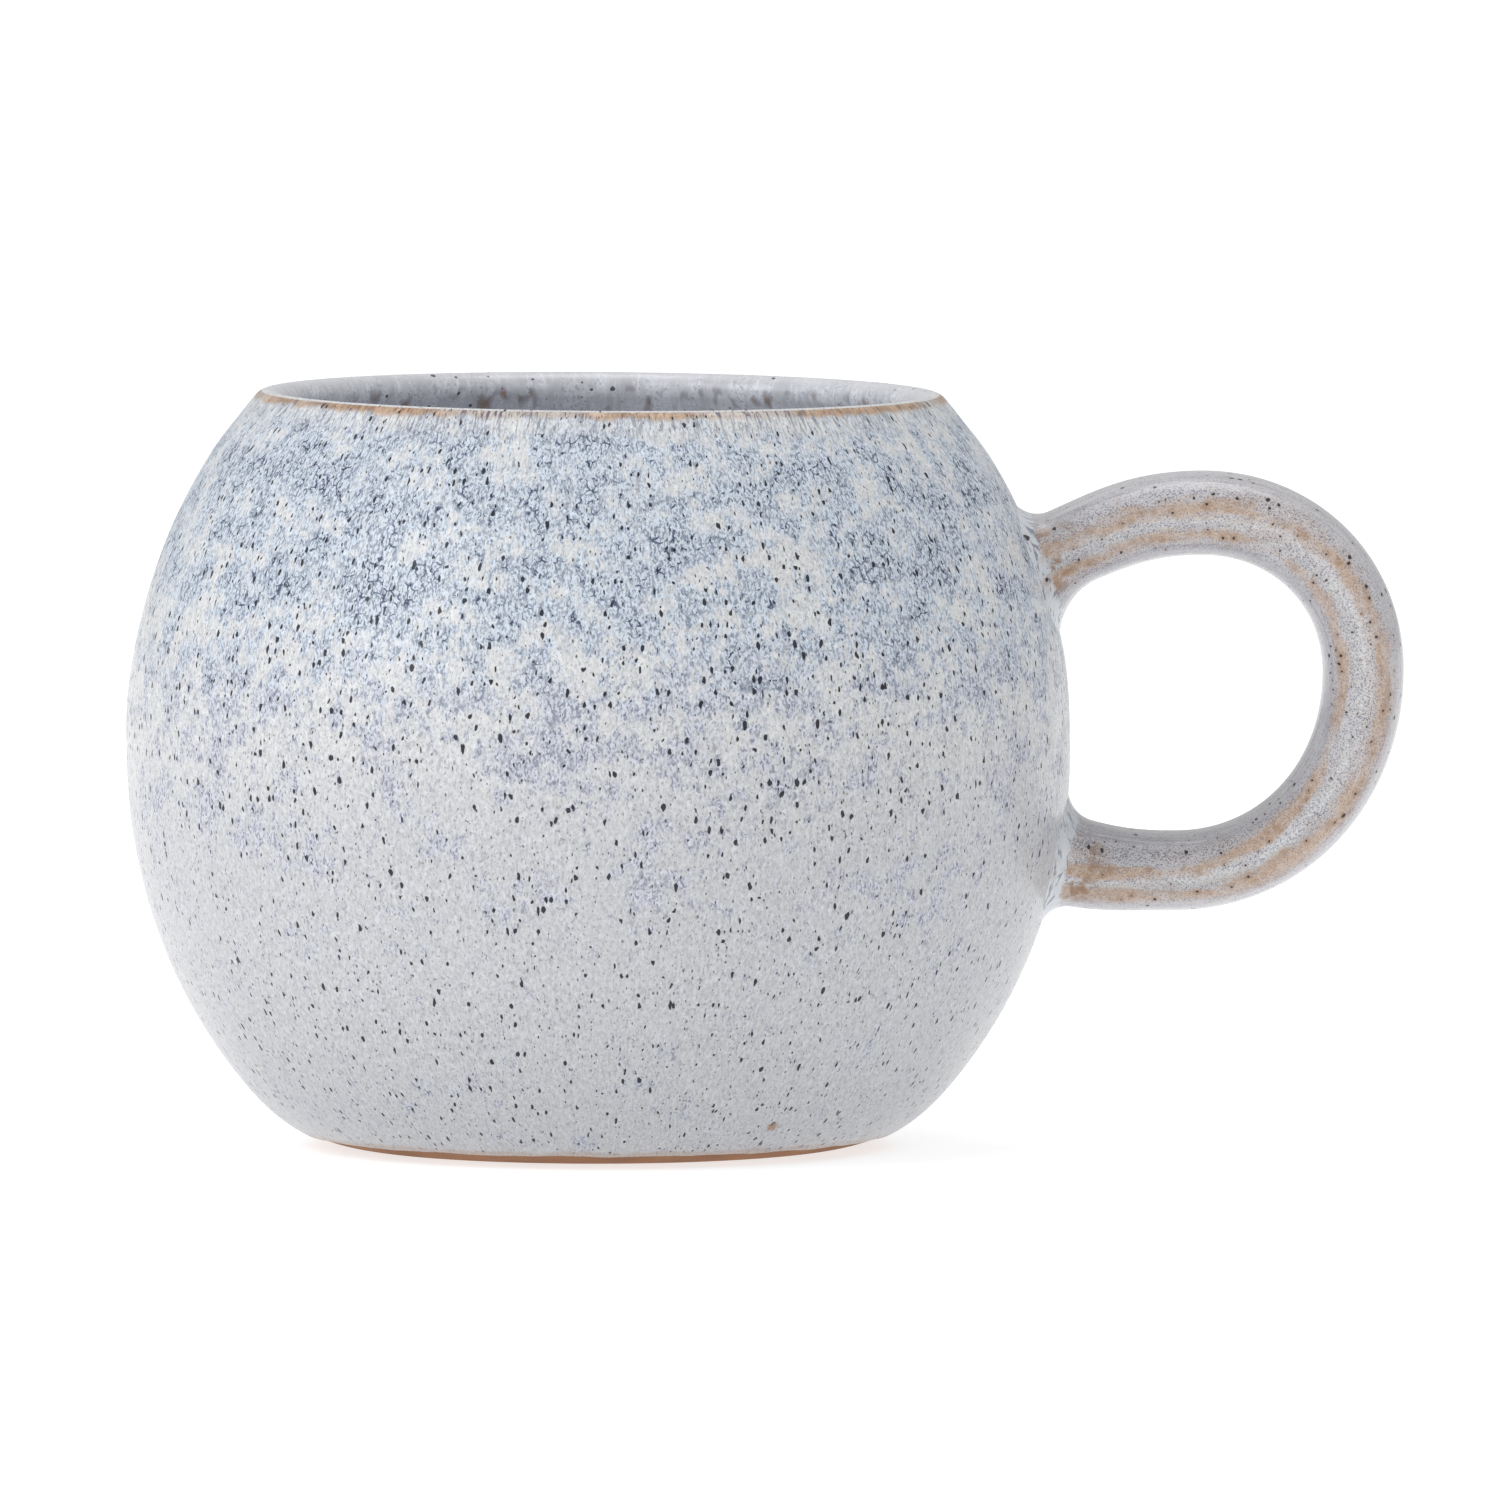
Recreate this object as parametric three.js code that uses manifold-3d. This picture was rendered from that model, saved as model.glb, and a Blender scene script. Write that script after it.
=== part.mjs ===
// A ball-shaped stoneware mug with a looped strap handle. Millimetres, +Z up.
// The origin is the centre of the foot, on the cup's axis, and the handle points along +X.
//
// The cup is a wall carried along a mid-line: a quarter ellipse from the belly up to the mouth and
// another from the belly down to the heel, both of the belly's radius. Clay and glaze surfaces lie at
// stated distances from that mid-line, so a coat and the clay under it share their points.

import * as THREE from "three";
import { mergeVertices } from "three/addons/utils/BufferGeometryUtils.js";
import Module from "manifold-3d";

// ---- Cup -----------------------------------------------------------------------------------------
const cupDiameter = 100; // widest circle, over the glaze
const cupHeight = 80; // foot to the top of the lip, over the glaze
const bellyHeight = 41.6; // height of the widest circle
const mouthDiameter = 71.5; // circle of the lip's ridge
const footDiameter = 49; // flat disc that the mug stands on
const heelDiameter = 72; // mid-line circle where the round heel begins
const heelHeight = 7.4; // height of that circle
const lipThickness = 2.8; // clay
const bellyThickness = 3.7; // clay, at the belly and below it
const floorThickness = 5.2; // clay
const floorDiameter = 46; // flat disc inside
const coveRise = 6.5; // height of the cove between the floor and the wall

// ---- Glazes --------------------------------------------------------------------------------------
const glazeThickness = 0.3; // each coat on clay
const overglazeThickness = 0.25; // second coat, on the first
const bareFootHeight = 1.45; // clay left bare above the foot
const overglazeHeight = 45; // lower edge of the second coat

// ---- Handle --------------------------------------------------------------------------------------
const strapWidth = 13.4; // across the loop, over the glaze
const strapThickness = 8.6; // over the glaze
const strapCorner = 3.7; // radius of the strap's long edges, over the glaze
const handleReach = 35.4; // from the belly to the outside of the loop
const loopTopDrop = 8.6; // from the lip's top down to the top of the loop
const loopBottomHeight = 24.8; // bottom of the loop
const loopMidDrop = 21.1; // from the top of the loop down to its outermost point
const loopTopReach = 14; // from the belly to the top of the loop
const loopBottomReach = 11.2; // from the belly to the bottom of the loop
const upperRootDrop = 17.8; // from the lip's top down to where the centre line meets the shoulder
const lowerRootHeight = 29.9; // where the centre line meets the belly
const loopFullness = 0.57; // Bezier handle of each loop quarter, where 0.5523 is an ellipse
const armFullness = 0.4; // Bezier handle of each arm, as a share of the arm's chord
const jointDepth = 3.2; // thickness of the slip pad between the wall and the strap
const jointFillet = 3.4; // radius of the fillet round each joint
const jointSink = 0.07; // how far the fillet's wide end is under the wall at the joint's two sides
const seamGap = 0.3; // between a piece and the neighbour that it is cut to fit
const sleeveGap = 0.05; // between the strap's clay and its glaze

// ---- Fineness ------------------------------------------------------------------------------------
const turnSteps = 36; // round the cup
const wallStep = 7.5; // degrees of the ellipse's own angle, up the wall
const roundSteps = 3; // along the heel, the cove and each half of the lip
const eggSteps = 24; // from pole to pole of the egg that trims the handle
const pathSteps = 26; // along the handle
const cornerSteps = 2; // three.js doubles this along an arc
const halvings = 50; // when an angle is looked for by its height
const weld = 1e-4; // points nearer than this are one point

const wasm = await Module();
wasm.setup();

const mix = THREE.MathUtils.lerp;
const quarterTurn = Math.PI / 2;

// ---- Wall ----------------------------------------------------------------------------------------
// The mid-line, worked out so that the lip's ridge has the mouth's diameter at the cup's height.
const lipRadius = lipThickness / 2;
const midRadius = cupDiameter / 2 - glazeThickness - lipRadius;
const lipCentre = new THREE.Vector2(mouthDiameter / 2, cupHeight - glazeThickness - lipRadius);
const lipAngle = Math.acos(lipCentre.x / midRadius);
const heelAngle = -Math.acos(heelDiameter / 2 / midRadius);
const shoulderAxis = (lipCentre.y - bellyHeight) / Math.sin(lipAngle);
const baseAxis = (heelHeight - bellyHeight) / Math.sin(heelAngle);

// A point of the wall: its place, and the direction out of the wall there.
// The angle is the ellipse's own parameter, 0 at the belly, and offset is along the normal.
function wallPoint(angle, offset) {
  const axis = angle > 0 ? shoulderAxis : baseAxis;
  const out = new THREE.Vector2(axis * Math.cos(angle), midRadius * Math.sin(angle)).normalize();
  const at = new THREE.Vector2(midRadius * Math.cos(angle), bellyHeight + axis * Math.sin(angle));
  return { at: at.addScaledVector(out, offset), out };
}

// The clay inside the mid-line thickens from the lip's half thickness to the belly's.
function insideOffset(angle) {
  const share = angle > 0 ? Math.cos((angle / lipAngle) * quarterTurn) : 1;
  return -mix(lipRadius, bellyThickness - lipRadius, share);
}

// Angles from the first of a list to its last, with one at each of them and even steps between.
function spread(stops) {
  const between = stops.slice(1).map((to, i) => {
    const from = stops[i];
    const count = Math.max(1, Math.round(Math.abs(to - from) / THREE.MathUtils.degToRad(wallStep)));
    return Array.from({ length: count }, (_, k) => mix(from, to, (k + 1) / count));
  });
  return [stops[0], ...between.flat()];
}

// Points up or down the wall, on the outside or the inside of the clay.
function wallRun(angles, offsetAt, side) {
  return angles.map((angle) => {
    const { at, out } = wallPoint(angle, offsetAt(angle));
    return { angle, at, out: out.multiplyScalar(side) };
  });
}

// Points round the lip's clay, as angles about the lip's centre.
function lipRun(from, to) {
  return Array.from({ length: roundSteps + 1 }, (_, i) => {
    const angle = mix(from, to, i / roundSteps);
    const out = new THREE.Vector2(Math.cos(angle), Math.sin(angle));
    return { at: lipCentre.clone().addScaledVector(out, lipRadius), out };
  });
}

// A round corner between the wall and a level disc: a quadratic Bezier, tangent to the wall at its
// top and level at the disc's edge, and the part of it between two shares. It runs from the disc to
// the wall, and side is 1 on the outside.
function cornerRun(wall, level, discRadius, side, from, to) {
  const along = new THREE.Vector2(wall.out.y, -wall.out.x);
  const turn = wall.at.clone().addScaledVector(along, (level - wall.at.y) / along.y);
  const curve = new THREE.QuadraticBezierCurve(new THREE.Vector2(discRadius, level), turn, wall.at);
  return Array.from({ length: roundSteps + 1 }, (_, i) => {
    const share = mix(from, to, i / roundSteps);
    const heading = curve.getTangent(share);
    const out = new THREE.Vector2(heading.y, -heading.x).multiplyScalar(side);
    return { at: curve.getPoint(share), out };
  });
}

// The wall's angle at a height on one of its surfaces, found by halving.
function angleAt(height, offsetAt) {
  let low = -quarterTurn;
  let high = quarterTurn;
  for (let i = 0; i < halvings; i += 1) {
    const middle = (low + high) / 2;
    if (wallPoint(middle, offsetAt(middle)).at.y < height) low = middle;
    else high = middle;
  }
  return high;
}

const outer = () => lipRadius;
const lipOut = wallPoint(lipAngle, 0).out.angle();
const heelTop = wallPoint(heelAngle, lipRadius);
const glazeLine = Math.sqrt(bareFootHeight / heelTop.at.y); // the heel rises as its share squared
const coveAngle = angleAt(floorThickness + coveRise, insideOffset);
const coveTop = wallPoint(coveAngle, insideOffset(coveAngle));

const bareHeel = cornerRun(heelTop, 0, footDiameter / 2, 1, 0, glazeLine);
const glazedHeel = cornerRun(heelTop, 0, footDiameter / 2, 1, glazeLine, 1);
const coatEdge = angleAt(overglazeHeight, outer);
const outsideStops = [heelAngle, 0, coatEdge, lipAngle].sort((a, b) => a - b);
const outsideWall = wallRun(spread(outsideStops), outer, 1).slice(1);
const outsideLip = lipRun(lipOut, quarterTurn).slice(1);
const insideLip = lipRun(quarterTurn, lipOut + Math.PI);
const insideWall = wallRun(spread([lipAngle, 0, coveAngle]), insideOffset, -1).slice(1);
const cove = cornerRun(coveTop, floorThickness, floorDiameter / 2, -1, 0, 1).reverse().slice(1);

// ---- Solids --------------------------------------------------------------------------------------
function solidFrom(geometry) {
  const bare = geometry.clone();
  bare.deleteAttribute("normal");
  bare.deleteAttribute("uv");
  const merged = mergeVertices(bare, weld);
  return new wasm.Manifold(
    new wasm.Mesh({
      numProp: 3,
      vertProperties: new Float32Array(merged.attributes.position.array),
      triVerts: new Uint32Array(merged.index.array),
    }),
  );
}

function geometryFrom(solid) {
  const mesh = solid.getMesh();
  const geometry = new THREE.BufferGeometry();
  geometry.setAttribute("position", new THREE.BufferAttribute(mesh.vertProperties, 3));
  geometry.setIndex(new THREE.BufferAttribute(mesh.triVerts, 1));
  geometry.computeVertexNormals();
  return geometry;
}

// A profile of [radius, height] points, turned about the cup's axis.
function turned(points) {
  return new THREE.LatheGeometry(points, turnSteps).rotateX(Math.PI / 2);
}

const onAxis = (height) => new THREE.Vector2(0, height);
const places = (run) => run.map((p) => p.at.clone());
const lifted = (run, distance) => run.map((p) => p.at.clone().addScaledVector(p.out, distance));

// A coat on a run of the wall, up its outer skin and back down its inner one, closed on itself.
function coat(run, from, to) {
  const skin = lifted(run, to);
  return [...skin, ...lifted(run, from).reverse(), skin[0].clone()];
}

// The egg that the wall's outside lies on, grown by a distance: it trims what meets the wall.
function egg(distance) {
  const points = Array.from({ length: eggSteps + 1 }, (_, i) => {
    const angle = mix(-quarterTurn, quarterTurn, i / eggSteps);
    return wallPoint(angle, lipRadius + distance).at;
  });
  points[0].x = 0;
  points.at(-1).x = 0;
  return solidFrom(turned(points));
}

// ---- Handle path and section ---------------------------------------------------------------------
const bellyRadius = cupDiameter / 2;
const halfStrap = strapThickness / 2;
const inPlane = (x, z) => new THREE.Vector3(x, 0, z);

// Where the handle's centre line meets the wall's clay, square to it.
function rootAt(height) {
  const { at, out } = wallPoint(angleAt(height, outer), lipRadius);
  return { at: inPlane(at.x, at.y), out: inPlane(out.x, out.y) };
}

const upperRoot = rootAt(cupHeight - upperRootDrop);
const lowerRoot = rootAt(lowerRootHeight);
const loopTopHeight = cupHeight - loopTopDrop;
const loopTop = inPlane(bellyRadius + loopTopReach, loopTopHeight - halfStrap);
const loopSide = inPlane(bellyRadius + handleReach - halfStrap, loopTopHeight - loopMidDrop);
const loopBottom = inPlane(bellyRadius + loopBottomReach, loopBottomHeight + halfStrap);
const rightward = inPlane(1, 0);
const downward = inPlane(0, -1);
const leftward = inPlane(-1, 0);

// One Bezier from a point to another, leaving and arriving along headings. Each handle is a length.
function bend(from, leave, to, arrive, first, second) {
  const out = from.clone().addScaledVector(leave, first);
  const back = to.clone().addScaledVector(arrive, -second);
  return new THREE.CubicBezierCurve3(from, out, back, to);
}

// A quarter of the loop, between a level stretch and an upright one.
function quarter(from, leave, to, arrive) {
  const across = Math.abs(from.x - to.x) * loopFullness;
  const rise = Math.abs(from.z - to.z) * loopFullness;
  const [first, second] = leave.x === 0 ? [rise, across] : [across, rise];
  return bend(from, leave, to, arrive, first, second);
}

// An arm between a root and the loop.
function arm(from, leave, to, arrive) {
  const length = from.distanceTo(to) * armFullness;
  return bend(from, leave, to, arrive, length, length);
}

const handlePath = new THREE.CurvePath();
handlePath.add(arm(upperRoot.at, upperRoot.out, loopTop, rightward));
handlePath.add(quarter(loopTop, rightward, loopSide, downward));
handlePath.add(quarter(loopSide, downward, loopBottom, leftward));
handlePath.add(arm(loopBottom, leftward, lowerRoot.at, lowerRoot.out.clone().negate()));

// The strap's section: a rectangle with round corners, smaller all round by an inset.
function strapOutline(path, inset) {
  const x = strapWidth / 2 - inset;
  const y = strapThickness / 2 - inset;
  const r = strapCorner - inset;
  path.absarc(x - r, y - r, r, 0, quarterTurn);
  path.absarc(r - x, y - r, r, quarterTurn, Math.PI);
  path.absarc(r - x, r - y, r, Math.PI, -quarterTurn);
  path.absarc(x - r, r - y, r, -quarterTurn, 0);
  return path;
}

function swept(shape) {
  const settings = { steps: pathSteps, curveSegments: cornerSteps, extrudePath: handlePath };
  return new THREE.ExtrudeGeometry(shape, settings);
}

// ---- Joints --------------------------------------------------------------------------------------
// The wall falls away to both sides of the handle, so the fillet's wide end is set in by as much.
const jointHalf = strapWidth / 2 + jointFillet;
const jointBite = bellyRadius - Math.sqrt(bellyRadius ** 2 - jointHalf ** 2) + jointSink;

// A stub of the strap whose end at the wall widens in a fillet. ExtrudeGeometry's bevel, with a
// negative size and an offset that makes up for it, draws that hollow quarter circle.
function jointStub(root, clearance) {
  const stub = new THREE.ExtrudeGeometry(strapOutline(new THREE.Shape(), 0), {
    depth: jointDepth + jointFillet,
    curveSegments: cornerSteps,
    bevelThickness: jointFillet,
    bevelSize: -jointFillet,
    bevelOffset: jointFillet + clearance,
    bevelSegments: roundSteps,
  });
  const across = new THREE.Vector3(0, 1, 0);
  const up = root.out.clone().cross(across);
  const start = root.at.clone().addScaledVector(root.out, jointFillet - jointBite);
  stub.applyMatrix4(new THREE.Matrix4().makeBasis(across, up, root.out).setPosition(start));
  return solidFrom(stub);
}

const padRegion = egg(seamGap + jointDepth).subtract(egg(seamGap));
const strapTrim = egg(jointDepth + 2 * seamGap);
const jointHoles = jointStub(upperRoot, seamGap).add(jointStub(lowerRoot, seamGap));

// ---- Pieces --------------------------------------------------------------------------------------
const clay = { color: 0xa98a68, roughness: 0.85, metalness: 0 };
const slip = { color: 0x8f7355, roughness: 0.85, metalness: 0 };
const whiteGlaze = { color: 0xd6d8da, roughness: 0.22, metalness: 0 };
const blueGlaze = { color: 0xaab6c6, roughness: 0.2, metalness: 0 };
const linerGlaze = { color: 0xa9abb4, roughness: 0.2, metalness: 0 };
const handleGlaze = { color: 0xbdb6b4, roughness: 0.25, metalness: 0 };

function cupBody() {
  const outside = [...bareHeel, ...glazedHeel.slice(1), ...outsideWall, ...outsideLip];
  const inside = [...insideLip.slice(1), ...insideWall, ...cove];
  return turned([onAxis(0), ...places([...outside, ...inside]), onAxis(floorThickness)]);
}

function outsideGlaze() {
  const run = [...glazedHeel, ...outsideWall, ...outsideLip];
  return geometryFrom(solidFrom(turned(coat(run, 0, glazeThickness))).subtract(jointHoles));
}

function blueOverglaze() {
  const run = outsideWall.filter((p) => p.angle >= coatEdge);
  const shell = turned(coat(run, glazeThickness, glazeThickness + overglazeThickness));
  return geometryFrom(solidFrom(shell).subtract(jointHoles));
}

function insideGlaze() {
  const run = [...insideLip, ...insideWall, ...cove];
  const skin = [...lifted(run, glazeThickness), onAxis(floorThickness + glazeThickness)];
  return turned([onAxis(floorThickness), ...places(run).reverse(), ...skin]);
}

function handleStrap() {
  const sweep = solidFrom(swept(strapOutline(new THREE.Shape(), glazeThickness + sleeveGap)));
  return geometryFrom(sweep.subtract(strapTrim));
}

function handleSleeve() {
  const ring = strapOutline(new THREE.Shape(), 0);
  ring.holes.push(strapOutline(new THREE.Path(), glazeThickness));
  return geometryFrom(solidFrom(swept(ring)).subtract(strapTrim));
}

function handleJoint(root) {
  return geometryFrom(jointStub(root, 0).intersect(padRegion));
}

const mug = new THREE.Group();

function piece(name, geometry, finish) {
  const mesh = new THREE.Mesh(geometry, new THREE.MeshStandardMaterial(finish));
  mesh.name = name;
  mug.add(mesh);
}

piece("cup_body", cupBody(), clay);
piece("handle_strap", handleStrap(), clay);
piece("upper_handle_joint", handleJoint(upperRoot), slip);
piece("lower_handle_joint", handleJoint(lowerRoot), slip);
piece("outside_glaze", outsideGlaze(), whiteGlaze);
piece("blue_overglaze", blueOverglaze(), blueGlaze);
piece("inside_glaze", insideGlaze(), linerGlaze);
piece("handle_glaze", handleSleeve(), handleGlaze);

export default mug;
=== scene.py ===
"""A ball-shaped stoneware mug: a thrown cup with a looped strap handle, a speckled white glaze outside with a
blue reactive glaze over its upper half, a grey liner glaze and a bare clay foot.

Shapes are worked out in millimetres round the fixed model and put into meshes in metres. The origin is the
centre of the foot, +Z is up and the handle points along +X.
"""

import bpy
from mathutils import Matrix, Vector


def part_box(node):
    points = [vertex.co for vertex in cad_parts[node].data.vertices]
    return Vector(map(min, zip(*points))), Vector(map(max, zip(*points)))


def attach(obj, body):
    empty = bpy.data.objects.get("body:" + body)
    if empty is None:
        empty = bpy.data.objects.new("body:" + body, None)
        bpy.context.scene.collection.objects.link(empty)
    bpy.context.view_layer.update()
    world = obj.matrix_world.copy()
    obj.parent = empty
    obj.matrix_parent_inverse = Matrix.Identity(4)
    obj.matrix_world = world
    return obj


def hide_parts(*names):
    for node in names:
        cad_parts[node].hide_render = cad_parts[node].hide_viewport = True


bl_info = {
    "name": "Stoneware Mug",
    "version": (1, 0, 0),
    "blender": (4, 5, 0),
    "location": "3D View > Sidebar > Mug",
    "description": "Builds a glazed stoneware mug round its fixed model, with a studio floor and light",
    "category": "Add Mesh",
}

import math
from types import SimpleNamespace

import bpy
import numpy as np
from bpy.props import FloatProperty, FloatVectorProperty, PointerProperty
from mathutils import Euler, Vector

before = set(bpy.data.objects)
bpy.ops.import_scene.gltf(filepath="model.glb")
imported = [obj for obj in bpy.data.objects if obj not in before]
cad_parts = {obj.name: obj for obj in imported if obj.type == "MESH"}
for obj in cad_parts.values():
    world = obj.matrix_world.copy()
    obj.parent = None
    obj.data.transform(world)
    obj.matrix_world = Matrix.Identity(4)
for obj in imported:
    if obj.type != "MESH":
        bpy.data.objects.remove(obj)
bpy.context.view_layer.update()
outside_low, outside_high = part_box("outside_glaze")
handle_low, handle_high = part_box("handle_glaze")
floor_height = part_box("inside_glaze")[0].z
overglaze_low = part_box("blue_overglaze")[0].z

MM = 0.001
TAU = 2 * math.pi


# ---- Properties ------------------------------------------------------------------------------------


def size(name, description, default):
    """A length in metres that a user may change."""
    return FloatProperty(name=name, description=description, default=default, unit="LENGTH", precision=5)


def colour(name, description, red, green, blue):
    """A colour given as sRGB values from 0 to 255, held as linear light."""
    shade = [((c / 255 + 0.055) / 1.055) ** 2.4 for c in (red, green, blue)]
    limits = {"subtype": "COLOR", "min": 0, "max": 1}
    return FloatVectorProperty(name=name, description=description, default=shade, **limits)


class MUG_PG_cup(bpy.types.PropertyGroup):
    """Sizes of the cup and its coats of glaze."""

    cup_diameter: size("Cup diameter", "Widest circle, over the glaze", 2 * outside_high.y)
    cup_height: size("Cup height", "Foot to the top of the lip, over the glaze", outside_high.z)
    belly_height: size("Belly height", "Height of the widest circle", 0.0416)
    mouth_diameter: size("Mouth diameter", "Circle of the lip's ridge", 0.0705)
    foot_diameter: size("Foot diameter", "Flat disc that the mug stands on", 0.049)
    heel_diameter: size("Heel diameter", "Mid-line circle where the round heel begins", 0.072)
    heel_height: size("Heel height", "Height of that circle", 0.0074)
    lip_thickness: size("Lip thickness", "Clay at the lip", 0.0028)
    belly_thickness: size("Belly thickness", "Clay at the belly and below it", 0.0037)
    floor_thickness: size("Floor thickness", "Clay of the floor", floor_height)
    floor_diameter: size("Floor diameter", "Flat disc inside", 0.046)
    cove_rise: size("Cove rise", "Height of the cove between floor and wall", 0.0065)
    glaze_thickness: size("Glaze thickness", "Each coat on clay", 0.0003)
    overglaze_thickness: size("Overglaze thickness", "Second coat, on the first", 0.00025)
    overglaze_height: size("Overglaze height", "Mean height of the second coat's lower edge", overglaze_low)
    bare_foot: size("Bare foot", "Clay left bare above the foot", outside_low.z)
    lip_lean: size("Lip lean", "How far the mouth is off the foot's axis, towards the handle", 0.00025)
    lip_fall: size("Lip fall", "How much lower the lip is at the handle than opposite it", 0.0005)


class MUG_PG_handle(bpy.types.PropertyGroup):
    """Sizes of the looped strap handle."""

    strap_width: size("Strap width", "Across the loop, over the glaze", 2 * handle_high.y)
    strap_thickness: size("Strap thickness", "In the loop's plane, over the glaze", 0.0086)
    loop_reach: size("Loop reach", "Outermost point, from the axis", handle_high.x)
    loop_top: size("Loop top", "Height of the top of the loop", handle_high.z)
    loop_bottom: size("Loop bottom", "Height of the bottom of the loop", handle_low.z)
    loop_middle: size("Loop middle", "Height of the loop's outermost point", 0.0503)
    top_reach: size("Top reach", "From the axis to the top of the loop", 0.064)
    bottom_reach: size("Bottom reach", "From the axis to the bottom of the loop", 0.0612)
    upper_root: size("Upper root", "Height where the centre line meets the shoulder", 0.0622)
    lower_root: size("Lower root", "Height where the centre line meets the belly", 0.0299)
    side_groove: size("Side groove", "Depth of the groove along each flat side", 0.00035)


class MUG_PG_glaze(bpy.types.PropertyGroup):
    """Colours of the clay and the glazes."""

    white: colour("White glaze", "Ground of the outside", 194, 195, 198)
    cream: colour("Cream glaze", "Thick glaze between the blue patches", 213, 214, 215)
    blue: colour("Blue glaze", "Ground of the blue patches", 201, 212, 225)
    lilac: colour("Lilac glaze", "Where the blue glaze thins out", 196, 198, 209)
    ink: colour("Iron spots", "Dark spots through the glaze", 16, 19, 32)
    line: colour("Cell lines", "Fine dark lines of the blue glaze", 64, 74, 100)
    tan: colour("Thin glaze", "Clay that shows through thin glaze", 190, 162, 137)
    rust: colour("Rust", "Iron that bled into thin glaze", 150, 116, 86)
    liner: colour("Liner glaze", "Inside of the cup", 232, 234, 241)
    clay: colour("Fired clay", "Bare foot", 152, 106, 72)
    sleeve: colour("Handle glaze", "Ground of the handle", 192, 190, 194)


# ---- Meshes ----------------------------------------------------------------------------------------


def smooth(value, low=0.0, high=1.0):
    """0 below low, 1 above high, and the cubic 3t^2 - 2t^3 between them."""
    t = np.clip((value - low) / (high - low), 0, 1)
    return t * t * (3 - 2 * t)


def grid_faces(rows, columns, loop):
    """Quads between neighbouring rows of a grid whose last column joins its first one. Where loop is set, the
    last row joins the first one too."""
    row = np.arange(rows if loop else rows - 1)[:, None]
    column = np.arange(columns)[None, :]
    here, above = row * columns, ((row + 1) % rows) * columns
    beside = (column + 1) % columns
    corners = (here + column, here + beside, above + beside, above + column)
    return np.stack(corners, -1).reshape(-1, 4)


def grid_piece(name, points, finish, nodes, loop=False, attributes=None):
    """A closed mesh from points in millimetres on a grid of rows and columns. It is a ring of tube where loop
    is set. Otherwise each end row is drawn together in one point, its mean, by a fan of triangles. attributes
    holds vectors on the same grid, which the materials read."""
    rows, columns = points.shape[:2]
    layers = {"position": points, **(attributes or {})}
    flat = {key: value.reshape(rows * columns, -1) for key, value in layers.items()}
    faces = grid_faces(rows, columns, loop)
    fans = np.zeros((0, 3), int)
    if not loop:
        flat = {k: np.vstack([v, v[:columns].mean(0), v[-columns:].mean(0)]) for k, v in flat.items()}
        ring = np.arange(columns)
        start = np.stack([np.roll(ring, -1), ring, np.full(columns, rows * columns)], -1)
        last = (rows - 1) * columns
        end = np.stack([last + ring, last + np.roll(ring, -1), np.full(columns, rows * columns + 1)], -1)
        fans = np.vstack([start, end])
    place = flat.pop("position")
    # The signed volume that the faces close in tells which way they point.
    a, b, c = place[faces[:, 0]], place[faces[:, 1]], place[faces[:, 2]]
    d = place[faces[:, 3]]
    volume = np.einsum("ij,ij->i", a, np.cross(b, c) + np.cross(c, d)).sum()
    volume += np.einsum("ij,ij->i", place[fans[:, 0]], np.cross(place[fans[:, 1]], place[fans[:, 2]])).sum()
    if volume < 0:
        faces, fans = faces[:, ::-1], fans[:, ::-1]
    mesh = bpy.data.meshes.new(name)
    mesh.from_pydata((place * MM).tolist(), [], faces.tolist() + fans.tolist())
    mesh.polygons.foreach_set("use_smooth", np.ones(len(mesh.polygons), bool))
    for key, value in flat.items():
        layer = mesh.attributes.new(key, "FLOAT_VECTOR", "POINT")
        layer.data.foreach_set("vector", value.astype(np.float32).ravel())
    mesh.update()
    mesh.materials.append(finish)
    piece = bpy.data.objects.new(name, mesh)
    bpy.context.scene.collection.objects.link(piece)
    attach(piece, "root")
    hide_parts(*nodes)


# ---- The cup's wall --------------------------------------------------------------------------------


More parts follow.
